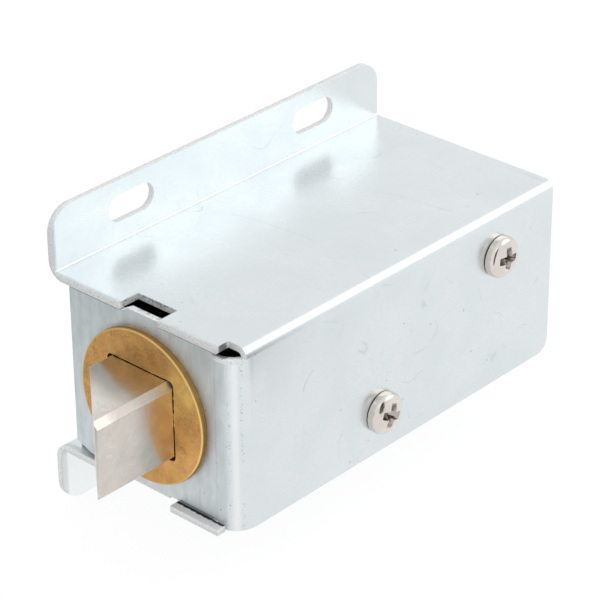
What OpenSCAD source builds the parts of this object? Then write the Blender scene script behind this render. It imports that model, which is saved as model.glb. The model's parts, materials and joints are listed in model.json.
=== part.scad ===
// Electric cabinet lock: a 12 V pull solenoid in a folded steel case,
// with a square slant-nosed latch bolt that turns in a round brass guide.
//
// Frame: origin in the middle of the four mounting slots, on the mounting
// face. +X points the way the latch bolt sticks out, +Y leads from the
// mounting face into the body, +Z is up. Millimetres.

/* [Case] */
// Length of the folded case, front plate to rear edge
body_length = 53.6; // [51:0.2:60]
// Depth of the case from the mounting face to the screwed side
body_depth = 27.8; // [27.4:0.2:34]
// Height of the case between top plate and underside
body_height = 22.5; // [22.1:0.1:26]
// Thickness of the folded sheet
sheet = 0.8; // [0.7:0.05:1]
// Inside radius of the fold between a plate and its mounting flange
flange_fold_r = 1.2; // [0.5:0.1:1.3]
// Radius of the corner pressed into the inside of that fold
coin_r = 0.3; // [0.2:0.05:0.5]
// Inside radius of the fold between top plate and screwed side
side_fold_r = 0.5; // [0.3:0.1:0.8]
// Inside radius of the fold between screwed side and front plate
front_fold_r = 2.15; // [1.2:0.05:2.4]
// Distance from the mounting face to the free edge of the front plate
front_inset = 3.1; // [2.9:0.05:3.5]
// Distance from the mounting face to the back plate
back_inset = 2.8; // [2.7:0.05:3.2]
// Rounding of the lower rear corner of the screwed side
side_corner_r = 1.8; // [0.5:0.1:4]

/* [Mounting flanges] */
// How far each flange stands above or below the case
flange_height = 7.4; // [6.8:0.1:10]
// Rounding of the flange corners
flange_corner_r = 3; // [1:0.1:4]
// Distance between the two slots of a flange
slot_spacing = 30; // [24:0.5:34]
// Distance from the front plate to the middle of the first slot
slot_setback = 12; // [10:0.1:14]
// Length of a slot, end to end
slot_length = 7; // [4.5:0.1:9]
// Width of a slot
slot_width = 3.3; // [3:0.1:4]
// Height of the slots' middle above or below the case
slot_rise = 4; // [3.8:0.1:4.6]

/* [Case cut-outs] */
// Width of the assembly notch in the front edge of the top plate
notch_width = 5.9; // [4:0.1:7]
// Depth of the assembly notch
notch_depth = 2.95; // [2:0.05:3.5]
// Offset of the notch from the bolt's axis, towards the mounting face
notch_offset = 0.9; // [0:0.1:2]
// Drop of the front plate's tongue in the notch, below the top plate
tongue_drop = 0.15; // [0.05:0.05:0.5]
// Length of the slant on the tongue's side towards the mounting face
tongue_slant = 1.4; // [0.5:0.1:2.5]
// Length of the relief cut where the two folds meet
relief_length = 1.9; // [1.2:0.1:2.4]
// Width of that relief cut
relief_width = 2.6; // [1.5:0.1:3]
// Height of that relief cut
relief_height = 1.3; // [1.2:0.1:2]
// Width of the slanted cut at the front plate's lower free corner
front_clip_width = 3.3; // [1:0.1:4]
// Height of that slanted cut
front_clip_height = 1.2; // [0.4:0.1:2]
// Width of the slit in the front plate beside the upright fold
slit_width = 0.5; // [0.2:0.05:0.8]
// Depth of that slit below the front plate's upper edge
slit_depth = 0.45; // [0.1:0.05:0.5]

/* [Base] */
// Gap between the base's front edge and the front plate's outer face
base_setback = 0.6; // [0.3:0.05:0.9]
// How far the flange end of the base stands out past the front plate
tab_reach = 0.45; // [0.1:0.05:1.5]
// Width of that flange end, from the mounting face
tab_width = 8.5; // [6:0.1:10]
// How far the locking lip stands out past the front plate
lip_reach = 1.3; // [0.8:0.05:2]
// Width of the lip's neck
lip_neck = 5.3; // [4:0.1:7]
// Width of the lip's head
lip_head = 7.1; // [6.2:0.1:8.5]
// Distance of the neck from the start of the upright fold
neck_setback = 0.65; // [0.3:0.05:1]
// Height of the front plate's lower edge above the neck
neck_play = 0.2; // [0.1:0.05:0.4]
// Width of the relief cut in the base beside the neck
neck_relief = 1.9; // [0.8:0.1:2.4]
// Depth of that relief cut behind the front plate's outer face
neck_relief_depth = 1.4; // [1:0.1:2]
// Slack of the base's front corner inside the upright fold
corner_slack = 0.1; // [0.05:0.05:0.3]
// Gap between the lip's head and the front plate
lip_gap = 0.12; // [0.05:0.01:0.3]
// Inside radius of the base's folds
base_fold_r = 1.2; // [0.6:0.1:1.6]
// Distance from the case's rear edge in to the base's rear wall
rear_inset = 0.5; // [0:0.1:1]

/* [Latch bolt] */
// Side of the square bolt
bolt_side = 9.8; // [8:0.1:10]
// Reach of the bolt's nose past the front plate
bolt_reach = 12; // [11:0.1:14]
// Reach of the bolt's low side past the front plate
heel_reach = 3.7; // [2:0.1:5]
// Width of the flat left on the nose
nose_flat = 0.45; // [0.2:0.05:1]
// Chamfer along the bolt's long edges
bolt_chamfer = 0.75; // [0.3:0.05:1.2]
// Height of the bolt's axis above the middle of the case
axis_lift = 0.2; // [0:0.05:0.3]
// Travel of the bolt when the coil pulls it in
stroke = 10; // [8:0.5:10.5]
// Diameter of the spigot behind the bolt
spigot_d = 6; // [5:0.1:6.4]
// Length of the spigot inside the plunger
spigot_length = 6.2; // [5:0.1:8]
// Diameter of the cross pin through spigot and plunger
pin_d = 1.6; // [1:0.1:2]

/* [Brass guide] */
// Width of the front disc's rim outside the hub
ring_rim = 1.1; // [0.6:0.05:1.4]
// Thickness of the front disc
ring_t = 0.65; // [0.4:0.05:0.8]
// Thickness of the washer under the front disc
ring_washer_t = 0.3; // [0.3:0.05:0.6]
// Wall of the hub outside the corners of the square hole
hub_wall = 1.3; // [1.2:0.05:1.5]
// Length of the hub behind the front plate's outer face
hub_length = 3.4; // [3:0.1:4]
// Corner radius of the square hole
square_corner_r = 0.6; // [0.2:0.1:1]
// Thickness of the spring clip behind the front plate
clip_t = 0.8; // [0.5:0.05:1]
// Reach of the spring clip outside the hub
clip_rim = 0.5; // [0.4:0.05:0.7]
// Depth of the clip's groove in the hub
groove_depth = 0.6; // [0.3:0.05:0.7]
// Opening of the spring clip at its lower side
clip_mouth = 9; // [7:0.5:11]
// Thickness of the rubber bumper behind the hub
bumper_t = 0.8; // [0.5:0.1:1.2]
// Gap between the bumper and the bolt's corners
bumper_gap = 0.45; // [0.2:0.05:0.6]

/* [Solenoid] */
// Thickness of the yoke strip
yoke_t = 2; // [1.6:0.1:2.1]
// Inside radius of the yoke's folds
yoke_fold_r = 0.5; // [0.3:0.1:1]
// Thickness of the back plate that closes the yoke
back_plate_t = 1.6; // [1.2:0.1:1.7]
// Gap between the bobbin's end discs and the case or yoke
coil_gap = 0.35; // [0.2:0.05:0.6]
// Thickness of the bobbin's end discs
bobbin_wall = 1.2; // [1.1:0.1:2]
// Depth of the winding below the rims of the end discs
winding_inset = 0.9; // [0.7:0.1:2]
// Thickness of the tape round the winding
tape_t = 0.2; // [0.1:0.05:0.3]
// Diameter of the plunger
plunger_d = 7.8; // [7:0.1:8]
// Bevel at the plunger's rear end, twice the one in front
plunger_bevel = 0.5; // [0.3:0.05:0.8]
// Wall of the brass guide tube
tube_wall = 0.4; // [0.3:0.05:0.6]
// Diameter of the guide tube's front flange
tube_flange_d = 12; // [11.4:0.1:13]
// Thickness of that flange
tube_flange_t = 0.4; // [0.3:0.05:0.6]
// Wall of the bobbin's barrel
barrel_wall = 0.8; // [0.6:0.1:1.2]
// Length of the fixed core inside the tube
core_length = 8; // [5:0.5:10]
// Diameter of the fixed core's threaded tail
core_tail_d = 5; // [4:0.1:5.5]
// Thickness of the nut behind the yoke
nut_t = 1.45; // [1.2:0.05:1.6]
// Width of the nut across its flats
nut_across = 8; // [7:0.1:8.4]
// Thickness of the lock washer under the nut
lock_washer_t = 0.4; // [0.3:0.05:0.6]
// Diameter of the lock washer
lock_washer_d = 8.6; // [7.5:0.1:9]
// Gap between the nut and the rear wall
tail_gap = 0.25; // [0.1:0.05:0.5]
// Thickness of the rubber disc on the fixed core
cushion_t = 0.8; // [0.4:0.1:1.2]
// Diameter of the two solder pins on the bobbin
terminal_d = 0.8; // [0.6:0.05:1]
// Reach of the solder pins past the bobbin's end disc
terminal_reach = 4.5; // [3:0.5:6]
// Distance between the two solder pins
terminal_pitch = 2.2; // [1.8:0.1:2.4]
// Reach of the stop washer outside the bolt's corners
stop_rim = 1.45; // [1:0.05:1.6]
// Thickness of the stop washer
stop_t = 1.2; // [0.8:0.1:1.6]

/* [Return spring] */
// Diameter of the spring wire
wire_d = 0.55; // [0.4:0.05:0.6]
// Diameter of the spring at the middle of its wire
spring_d = 9.6; // [9.2:0.1:10.2]
// Turns of the spring
spring_turns = 5; // [4:0.5:5]
// Slack left between the turns when the bolt is drawn in
spring_slack = 0.6; // [0.6:0.1:1.2]

/* [Screws] */
// Diameter of the screws' thread
screw_d = 3; // [2.5:0.1:3.2]
// Diameter of the pan heads
head_d = 5; // [4.6:0.1:5.8]
// Height of the pan heads
head_height = 1.7; // [1.5:0.05:2]
// Height of the straight rim below the head's dome
head_rim = 0.9; // [0.5:0.05:1.1]
// Length of the cross recess across the head
recess_length = 3.2; // [2.6:0.1:3.6]
// Width of the cross recess
recess_width = 0.75; // [0.5:0.05:0.9]
// Depth of the cross recess
recess_depth = 1.1; // [0.8:0.1:1.3]
// Turn of the upper screw's recess, in degrees
upper_recess_turn = 5; // [0:5:45]
// Turn of the lower screw's recess, in degrees
lower_recess_turn = 20; // [0:5:45]
// Play of the screws in the case's holes
screw_play = 0.4; // [0.2:0.1:0.6]
// Reach of the screws past the yoke's inner face
screw_past = 0.4; // [0:0.1:0.8]
// Distance of the upper screw from the front plate
upper_screw_setback = 43.6; // [40:0.1:44]
// Height of the upper screw above the middle of the case
upper_screw_rise = 5.5; // [4:0.1:6.5]
// Distance of the lower screw from the front plate
lower_screw_setback = 23.4; // [23:0.1:28]
// Height of the lower screw below the middle of the case
lower_screw_drop = 6.1; // [4:0.1:6.5]

/* [Lead exit] */
// Diameter of the grommet's hole for the coil leads
lead_hole_d = 3.2; // [2.5:0.1:3.6]
// Wall of the grommet in the rear wall
grommet_wall = 0.9; // [0.6:0.1:1.1]
// Overlap of the grommet's lips on the rear wall
grommet_lip = 0.9; // [0.6:0.1:1.1]
// Gap between the grommet and what lies beside it
grommet_gap = 0.45; // [0.3:0.05:0.7]

/* [Clearances] */
// Gap between pieces that are put together
fit = 0.05; // [0.02:0.01:0.08]
// Gap on each side of a sliding piece
slide = 0.08; // [0.05:0.01:0.1]
// Gap left at each end of the bolt's travel
end_gap = 0.15; // [0.05:0.05:0.3]
// Gap between the folded edges of the case
fold_gap = 0.1; // [0.05:0.05:0.2]

/* [Hidden] */
$fn = 96;
over = 1;
sliver = 0.01;
// Step by which a hidden end or rim stays inside the piece beside it
rim_step = 0.2;

// The case
front_x = slot_setback + slot_spacing / 2;
rear_x = front_x - body_length;
half_height = body_height / 2;
near_inner = body_depth - sheet;
ceiling = half_height - sheet;
floor_z = sheet - half_height;
inner_low = floor_z + fit;
inner_high = ceiling - fold_gap;
yoke_high = ceiling - side_fold_r - fold_gap;
flange_edge = half_height + flange_height;
slot_z = half_height + slot_rise;
front_fold_out = front_fold_r + sheet;
fold_start = body_depth - front_fold_out;

// The bolt's axis lies midway between back plate and yoke
back_inner = back_inset + back_plate_t;
yoke_inner = near_inner - fit - yoke_t;
axis_y = (back_inner + yoke_inner) / 2;
axis_z = axis_lift;

// Stations along the bolt's axis, front to rear
ring_front = front_x + ring_washer_t + fit + ring_t;
hub_rear = front_x - hub_length;
bumper_rear = hub_rear - bumper_t;
bolt_rear = bumper_rear - end_gap;
plunger_front = bolt_rear - stop_t;
spring_length = stroke + wire_d * spring_turns + spring_slack;
tube_front = plunger_front - spring_length;
yoke_front = tube_front - tube_flange_t;
shelf_front = front_x - base_setback;
base_rear = rear_x + rear_inset;
rear_wall_front = base_rear + sheet;
nut_rear = rear_wall_front + tail_gap;
yoke_rear = nut_rear + nut_t + lock_washer_t + 2 * fit;
coil_front = yoke_front - yoke_t - fit;
coil_rear = yoke_rear + yoke_t + fit;
core_face = coil_rear + core_length;
plunger_rear = core_face + cushion_t + end_gap + stroke;

// Neck of the locking lip, and the notch, as places along Y
neck_end = fold_start - neck_setback;
neck_start = neck_end - lip_neck;
notch_low = axis_y - notch_offset - notch_width / 2;
notch_high = notch_low + notch_width;

// Round fits
coil_room = min((yoke_inner - back_inner) / 2, ceiling - axis_z);
bobbin_d = 2 * (coil_room - coil_gap);
winding_d = bobbin_d - 2 * winding_inset;
tube_in = plunger_d + 2 * slide;
tube_out = tube_in + 2 * tube_wall;
bobbin_bore = tube_out + 2 * fit;
barrel_d = bobbin_bore + 2 * barrel_wall;
square_hole = bolt_side + 2 * slide;
corner_reach = (square_hole / 2 - square_corner_r) * sqrt(2) + square_corner_r;
hub_d = 2 * (corner_reach + hub_wall);
ring_d = hub_d + 2 * ring_rim;
clip_d = hub_d + 2 * clip_rim;
clip_rear = front_x - sheet - fit - clip_t;
groove_d = hub_d - 2 * groove_depth;
socket_d = spigot_d + 2 * fit;
pin_x = plunger_front - spigot_length / 2;
bolt_corner_r = norm([bolt_side / 2, bolt_side / 2 - bolt_chamfer]);
stop_d = 2 * (bolt_corner_r + stop_rim);

// Tenons of the yoke, staked into back plate and base
tenon = 4;
tenon_rise = 5.5;
foot_offset = 5.5;

// Lug of the bobbin, level with the rim of its end disc
lug_rim = 0.8;
lug_top = axis_z + bobbin_d / 2 - fit;
lug_height = terminal_pitch + terminal_d + 2 * lug_rim;
terminal_y = axis_y - bobbin_d / 2 + lug_rim + terminal_d / 2;

// Screws as [distance from the origin, height]
upper_screw = [front_x - upper_screw_setback, upper_screw_rise];
lower_screw = [front_x - lower_screw_setback, -lower_screw_drop];

// Lead exit and its path past the yoke
grommet_d = lead_hole_d + 2 * grommet_wall;
lead_y = back_inner + grommet_gap + grommet_lip + grommet_d / 2;
lead_z = floor_z + base_fold_r + grommet_gap + grommet_lip + grommet_d / 2;
lead_slot = lead_hole_d + grommet_wall;

// Zinc plate, brass, nickel and the rest
zinc = [0.86, 0.88, 0.89];
brass = [0.72, 0.55, 0.33];
nickel = [0.78, 0.76, 0.72];
steel = [0.62, 0.62, 0.62];
copper = [0.72, 0.42, 0.24];
nylon = [0.9, 0.89, 0.84];
tape_yellow = [0.85, 0.68, 0.2];
rubber = [0.12, 0.12, 0.12];

// Extrudes a (Y, Z) section along +X
module along_x(from, to)
  translate([from, 0, 0])
    rotate([90, 0, 90])
      linear_extrude(to - from)
        children();

// Extrudes an (X, Z) section along +Y
module along_y(from, to)
  translate([0, to, 0])
    rotate([90, 0, 0])
      linear_extrude(to - from)
        children();

// Extrudes an (X, Y) outline along +Z
module along_z(from, to)
  translate([0, 0, from])
    linear_extrude(to - from)
      children();

// Rectangle given by two opposite corners
module rect(low, high)
  translate(low)
    square(high - low);

// Block given by two opposite corners
module block(low, high)
  translate(low)
    cube(high - low);

// Quarter of a folded sheet round centre, on the side that way points to
module fold(centre, inside_r, way)
  intersection() {
    translate(centre)
      difference() {
        circle(inside_r + sheet);
        circle(inside_r);
      }
    translate(centre)
      scale_way(way)
        square(inside_r + sheet);
  }

// Mirrors a first-quadrant shape into the quadrant that way points to
module scale_way(way)
  mirror([way.x < 0 ? 1 : 0, 0])
    mirror([0, way.y < 0 ? 1 : 0])
      children();

// What a rounded corner takes off; the corner is at tip, way points to it
module corner_cut(tip, r, way)
  translate(tip)
    scale_way(-way)
      difference() {
        translate([-over, -over])
          square(r + over);
        translate([r, r])
          circle(r);
      }

module slot_outline(length, width) {
  square([length - width, width], center = true);
  for (side = [-1, 1])
    translate([side * (length - width) / 2, 0])
      circle(d = width);
}

// Revolves a profile of (distance along the bolt's axis, radius)
module on_axis(from)
  translate([from, axis_y, axis_z])
    rotate([0, 90, 0])
      children();

module disc(from, to, d)
  on_axis(from)
    cylinder(h = to - from, d = d);

module tube(from, to, outside, inside)
  difference() {
    disc(from, to, outside);
    disc(from - over, to + over, inside);
  }

// Where the four slots go through the flanges, on one flange
module slots(z)
  along_y(-over, sheet + over)
    for (side = [-1, 1])
      translate([side * slot_spacing / 2, z])
        slot_outline(slot_length, slot_width);

// Upper flange, top plate and screwed side, seen along the bolt
module cover_section() {
  flange_fold_out = flange_fold_r + sheet;
  side_fold_out = side_fold_r + sheet;
  rect([0, ceiling + flange_fold_out], [sheet, flange_edge]);
  difference() {
    fold([flange_fold_out, ceiling + flange_fold_out], flange_fold_r, [-1, -1]);
    difference() {
      rect([sheet, half_height], [flange_fold_out, ceiling + flange_fold_out]);
      corner_cut([sheet, half_height], coin_r, [-1, -1]);
    }
  }
  rect([flange_fold_out, ceiling], [body_depth - side_fold_out, half_height]);
  fold([body_depth - side_fold_out, half_height - side_fold_out], side_fold_r, [1, 1]);
  rect([near_inner, -half_height], [body_depth, half_height - side_fold_out]);
}

// Front plate with its tongue in the notch, seen along the bolt
module front_outline() {
  tongue_top = half_height - tongue_drop;
  polygon([
    [front_inset, inner_low + front_clip_height],
    [front_inset + front_clip_width, inner_low],
    [neck_start, inner_low],
    [neck_start, inner_low + neck_play],
    [fold_start, inner_low + neck_play],
    [fold_start, inner_high - slit_depth],
    [fold_start - slit_width, inner_high - slit_depth],
    [fold_start - slit_width, inner_high],
    [notch_high - fold_gap, inner_high],
    [notch_high - fold_gap, tongue_top],
    [notch_low + tongue_slant, tongue_top],
    [notch_low + fold_gap, inner_high],
    [front_inset, inner_high]
  ]);
}

// Front plate and the upright fold that joins it to the screwed side
module cover_front() {
  along_x(front_x - sheet, front_x)
    front_outline();
  along_z(-half_height, half_height - relief_height)
    fold([front_x - front_fold_out, fold_start], front_fold_r, [1, 1]);
}

module outer_cover() color(zinc)
  difference() {
    union() {
      difference() {
        along_x(rear_x, front_x)
          cover_section();
        block(
          [front_x - front_fold_out, fold_start, -half_height - over],
          [front_x + over, body_depth + over, half_height - relief_height]
        );
        block(
          [front_x - relief_length, body_depth - relief_width, half_height - relief_height],
          [front_x + over, body_depth + over, half_height + over]
        );
        block(
          [front_x - notch_depth, notch_low, ceiling - sliver],
          [front_x + over, notch_high, half_height + over]
        );
      }
      cover_front();
    }
    slots(slot_z);
    along_y(-over, sheet + flange_fold_r) {
      corner_cut([front_x, flange_edge], flange_corner_r, [1, 1]);
      corner_cut([rear_x, flange_edge], flange_corner_r, [-1, 1]);
    }
    along_y(near_inner - over, body_depth + over)
      corner_cut([rear_x, -half_height], side_corner_r, [-1, -1]);
    disc(front_x - sheet - over, front_x + over, hub_d + 2 * slide);
    for (place = [upper_screw, lower_screw])
      screw_hole(place, screw_d + screw_play);
  }

module screw_hole(place, d)
  translate([place.x, yoke_inner - over, place.y])
    rotate([-90, 0, 0])
      cylinder(h = body_depth - yoke_inner + 2 * over, d = d);

// Lower flange and the strip of the base beside it, seen along the bolt
module base_section() {
  fold_out = base_fold_r + sheet;
  rect([0, -flange_edge], [sheet, floor_z - fold_out]);
  fold([fold_out, floor_z - fold_out], base_fold_r, [-1, 1]);
  rect([fold_out, -half_height], [back_inset + over, floor_z]);
}

// Base and rear wall, seen from the mounting face
module base_side() {
  fold_out = base_fold_r + sheet;
  rect([base_rear, fold_out - half_height], [rear_wall_front, inner_high]);
  fold([base_rear + fold_out, fold_out - half_height], base_fold_r, [-1, -1]);
  rect([base_rear + fold_out, -half_height], [shelf_front, floor_z]);
}

module base_frame() color(zinc) {
  near_edge = near_inner - fit;
  difference() {
    union() {
      along_x(base_rear, front_x + tab_reach)
        base_section();
      along_y(back_inset, near_edge)
        base_side();
      along_z(-half_height, floor_z) {
        rect([shelf_front - over, base_fold_r + sheet], [front_x + tab_reach, tab_width]);
        rect([shelf_front - over, neck_start], [front_x + lip_gap + sliver, neck_end]);
        rect([front_x + lip_gap, neck_start], [front_x + lip_reach, neck_start + lip_head]);
      }
    }
    slots(-slot_z);
    along_y(-over, sheet + base_fold_r) {
      corner_cut([front_x + tab_reach, -flange_edge], flange_corner_r, [1, -1]);
      corner_cut([base_rear, -flange_edge], flange_corner_r, [-1, -1]);
    }
    block(
      [front_x - sheet - corner_slack, neck_end, -half_height - over],
      [front_x + lip_gap, near_edge + over, floor_z + over]
    );
    along_z(-half_height - over, floor_z + over)
      corner_cut([front_x - sheet - corner_slack, near_edge], front_fold_r - corner_slack, [1, 1]);
    block(
      [front_x - neck_relief_depth, neck_start - neck_relief, -half_height - over],
      [front_x + lip_gap, neck_start, floor_z + over]
    );
    along_x(base_rear - over, rear_wall_front + over)
      corner_cut([near_edge, inner_high], side_fold_r + fold_gap, [1, 1]);
    translate([base_rear - over, lead_y, lead_z])
      rotate([0, 90, 0])
        cylinder(h = sheet + 2 * over, d = grommet_d + 2 * fit);
    yoke_feet(fit);
  }
}

// Feet of the yoke's legs, grown by a gap for the slots that take them
module yoke_feet(gap = 0)
  for (leg = [yoke_front - yoke_t, yoke_rear], side = [-1, 1])
    block(
      [leg - gap, axis_y + side * foot_offset - tenon / 2 - gap, -half_height - (gap > 0 ? over : 0)],
      [leg + yoke_t + gap, axis_y + side * foot_offset + tenon / 2 + gap, inner_low + sliver]
    );

// Tenons of the yoke's legs in the back plate: two in front, one behind
module yoke_tenons(gap = 0)
  for (place = [
    [yoke_front - yoke_t, tenon_rise],
    [yoke_front - yoke_t, -tenon_rise],
    [yoke_rear, tenon_rise]
  ])
    block(
      [place.x - gap, back_inset - (gap > 0 ? over : 0), place.y - tenon / 2 - gap],
      [place.x + yoke_t + gap, back_inner + fit + sliver, place.y + tenon / 2 + gap]
    );

module back_plate() color(zinc)
  difference() {
    block(
      [rear_wall_front + fit, back_inset, inner_low],
      [front_x - sheet - fit, back_inner, inner_high]
    );
    along_y(back_inset - over, back_inner + over)
      corner_cut([rear_wall_front + fit, inner_low], base_fold_r, [-1, -1]);
    yoke_tenons(fit);
  }

module solenoid_yoke() color(steel)
  difference() {
    union() {
      along_z(inner_low, yoke_high)
        difference() {
          rect([yoke_rear, back_inner + fit], [yoke_front, yoke_inner + yoke_t]);
          yoke_window();
          for (corner = [[yoke_front, 1], [yoke_rear, -1]])
            corner_cut(
              [corner[0], yoke_inner + yoke_t],
              yoke_fold_r + yoke_t,
              [corner[1], 1]
            );
        }
      yoke_feet();
      yoke_tenons();
    }
    disc(yoke_front - yoke_t - over, yoke_front + over, tube_out + 2 * fit);
    disc(yoke_rear - over, yoke_rear + yoke_t + over, core_tail_d + 2 * fit);
    for (place = [upper_screw, lower_screw])
      screw_hole(place, screw_d);
    // Leads pass the rear leg here
    along_x(yoke_rear - over, yoke_rear + yoke_t + over) {
      rect([back_inner, lead_z - lead_slot / 2], [lead_y, lead_z + lead_slot / 2]);
      translate([lead_y, lead_z])
        circle(d = lead_slot);
    }
  }

// Space between the yoke's legs, open towards the back plate
module yoke_window() {
  low = yoke_rear + yoke_t;
  high = yoke_front - yoke_t;
  difference() {
    rect([low, back_inner - over], [high, yoke_inner]);
    for (corner = [[low, -1], [high, 1]])
      corner_cut([corner[0], yoke_inner], yoke_fold_r, [corner[1], 1]);
  }
}

module coil_bobbin() color(nylon)
  difference() {
    union() {
      disc(coil_rear, coil_front, barrel_d);
      on_axis(coil_rear)
        end_disc();
      on_axis(coil_front)
        mirror([0, 0, 1])
          end_disc();
      // Lug for the two solder pins, in the corner that the round disc leaves
      block(
        [coil_rear, terminal_y - lug_rim - terminal_d / 2, lug_top - lug_height],
        [coil_rear + bobbin_wall, axis_y - bobbin_d / 4, lug_top]
      );
    }
    disc(coil_rear - over, coil_front + over, bobbin_bore);
    terminals(fit / 2);
  }

// End disc of the bobbin; its outer rim is bevelled to clear the yoke's folds
module end_disc()
  rotate_extrude()
    polygon([
      [0, 0],
      [bobbin_d / 2 - yoke_fold_r, 0],
      [bobbin_d / 2, yoke_fold_r],
      [bobbin_d / 2, bobbin_wall],
      [0, bobbin_wall]
    ]);

// Two solder pins that stand forward from the lug on the bobbin
module terminals(gap = 0)
  for (drop = [0, terminal_pitch])
    translate([
      coil_rear - (gap > 0 ? over : 0),
      terminal_y,
      lug_top - lug_rim - terminal_d / 2 - drop
    ])
      rotate([0, 90, 0])
        cylinder(h = bobbin_wall + terminal_reach + (gap > 0 ? over : 0), d = terminal_d + 2 * gap);

module coil_terminals() color(steel)
  terminals();

module coil_winding() color(copper)
  tube(
    coil_rear + bobbin_wall + fit,
    coil_front - bobbin_wall - fit,
    winding_d,
    barrel_d + 2 * fit
  );

module coil_tape() color(tape_yellow)
  tube(
    coil_rear + bobbin_wall + 2 * fit,
    coil_front - bobbin_wall - 2 * fit,
    winding_d + 2 * fit + 2 * tape_t,
    winding_d + 2 * fit
  );

module guide_tube() color(brass)
  difference() {
    union() {
      disc(coil_rear, tube_front, tube_out);
      disc(yoke_front, tube_front, tube_flange_d);
    }
    disc(coil_rear - over, tube_front + over, tube_in);
  }

module fixed_core() color(steel) {
  disc(coil_rear, core_face, tube_in - 2 * fit);
  disc(nut_rear, coil_rear + sliver, core_tail_d);
}

module core_lock_washer() color(nickel)
  tube(nut_rear + nut_t + fit, yoke_rear - fit, lock_washer_d, core_tail_d + 2 * fit);

module core_nut() color(nickel)
  difference() {
    on_axis(nut_rear)
      cylinder(h = nut_t, d = nut_across / cos(30), $fn = 6);
    disc(nut_rear - over, yoke_rear, core_tail_d + 2 * fit);
  }

module core_cushion() color(rubber)
  disc(core_face + fit, core_face + cushion_t, plunger_d - 2 * rim_step);

module plunger() color(steel)
  difference() {
    on_axis(plunger_rear)
      rotate_extrude()
        plunger_profile();
    disc(plunger_front - spigot_length - plunger_bevel, plunger_front + over, socket_d);
    cross_hole(pin_d + 2 * fit);
  }

// Half section of the plunger with its two chamfers
module plunger_profile() {
  length = plunger_front - fit - plunger_rear;
  polygon([
    [0, 0],
    [plunger_d / 2 - plunger_bevel, 0],
    [plunger_d / 2, plunger_bevel],
    [plunger_d / 2, length - plunger_bevel / 2],
    [plunger_d / 2 - plunger_bevel / 2, length],
    [0, length]
  ]);
}

module cross_hole(d)
  translate([pin_x, axis_y, axis_z - plunger_d])
    cylinder(h = 2 * plunger_d, d = d);

module bolt_pin() color(nickel)
  translate([pin_x, axis_y, axis_z - plunger_d / 2 + rim_step])
    cylinder(h = plunger_d - 2 * rim_step, d = pin_d);

// The bolt's nose is cut to a slant that rises towards the screwed side
module latch_bolt() color(nickel)
  difference() {
    union() {
      intersection() {
        along_x(bolt_rear, front_x + bolt_reach)
          translate([axis_y, axis_z])
            chamfered_square(bolt_side, bolt_chamfer);
        along_z(axis_z - bolt_side, axis_z + bolt_side)
          bolt_plan();
      }
      disc(plunger_front - spigot_length, bolt_rear + sliver, spigot_d);
    }
    cross_hole(pin_d + 2 * fit);
  }

// Outline of the bolt from above
module bolt_plan() {
  low_side = axis_y - bolt_side / 2;
  nose_side = axis_y + bolt_side / 2;
  polygon([
    [bolt_rear, low_side],
    [front_x + heel_reach, low_side],
    [front_x + bolt_reach, nose_side - nose_flat],
    [front_x + bolt_reach, nose_side],
    [bolt_rear, nose_side]
  ]);
}

module chamfered_square(side, cut) {
  half = side / 2;
  polygon([
    for (quarter = [0:3], end = [0, 1])
      let (u = end == 0 ? [half, cut - half] : [half, half - cut])
        [u.x * cos(90 * quarter) - u.y * sin(90 * quarter),
         u.x * sin(90 * quarter) + u.y * cos(90 * quarter)]
  ]);
}

module stop_washer() color(steel)
  tube(plunger_front, bolt_rear - fit, stop_d, spigot_d + 2 * fit);

// Square hole through the guide, with small round corners
module square_bore(from, to)
  along_x(from, to)
    translate([axis_y, axis_z]) {
      square([square_hole - 2 * square_corner_r, square_hole], center = true);
      square([square_hole, square_hole - 2 * square_corner_r], center = true);
      for (y = [-1, 1], z = [-1, 1])
        translate([y, z] * (square_hole / 2 - square_corner_r))
          circle(square_corner_r);
    }

module guide_ring() color(brass)
  difference() {
    union() {
      disc(ring_front - ring_t, ring_front, ring_d);
      disc(hub_rear, ring_front - ring_t + sliver, hub_d);
    }
    square_bore(hub_rear - over, ring_front + over);
    tube(clip_rear - fit, clip_rear + clip_t + fit, hub_d + over, groove_d);
  }

module ring_washer() color(brass)
  tube(
    front_x + fit / 2,
    front_x + fit / 2 + ring_washer_t,
    ring_d - 2 * rim_step,
    hub_d + 2 * fit
  );

// Open spring clip that holds the guide in the front plate and lets it turn
module ring_clip() color(steel)
  difference() {
    tube(clip_rear, clip_rear + clip_t, clip_d, groove_d + 2 * fit);
    block(
      [clip_rear - over, axis_y - clip_mouth / 2, axis_z - clip_d],
      [clip_rear + clip_t + over, axis_y + clip_mouth / 2, axis_z]
    );
  }

module bumper_washer() color(rubber)
  tube(bumper_rear, hub_rear - fit, hub_d - 2 * rim_step, 2 * (bolt_corner_r + bumper_gap));

// Points on the circle round the spring wire's middle line
wire_sides = 6;
rings_per_turn = 8;
wire_r = wire_d / 2;
coil_low = tube_front + wire_r + fit;
coil_high = plunger_front - wire_r - fit;
ring_count = round(spring_turns * rings_per_turn);

function wire_middle(i) =
  let (turn = 360 * i / rings_per_turn)
    [
      coil_low + (coil_high - coil_low) * i / ring_count,
      axis_y + spring_d / 2 * cos(turn),
      axis_z + spring_d / 2 * sin(turn)
    ];

function wire_point(i, k) =
  let (turn = 360 * i / rings_per_turn, round_wire = 360 * k / wire_sides)
    wire_middle(i) + wire_r * [
      sin(round_wire),
      cos(round_wire) * cos(turn),
      cos(round_wire) * sin(turn)
    ];

// The least gap from one turn of the spring to the next
spring_gap = (coil_high - coil_low) / spring_turns - wire_d;
echo(spring_gap = spring_gap);

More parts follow.
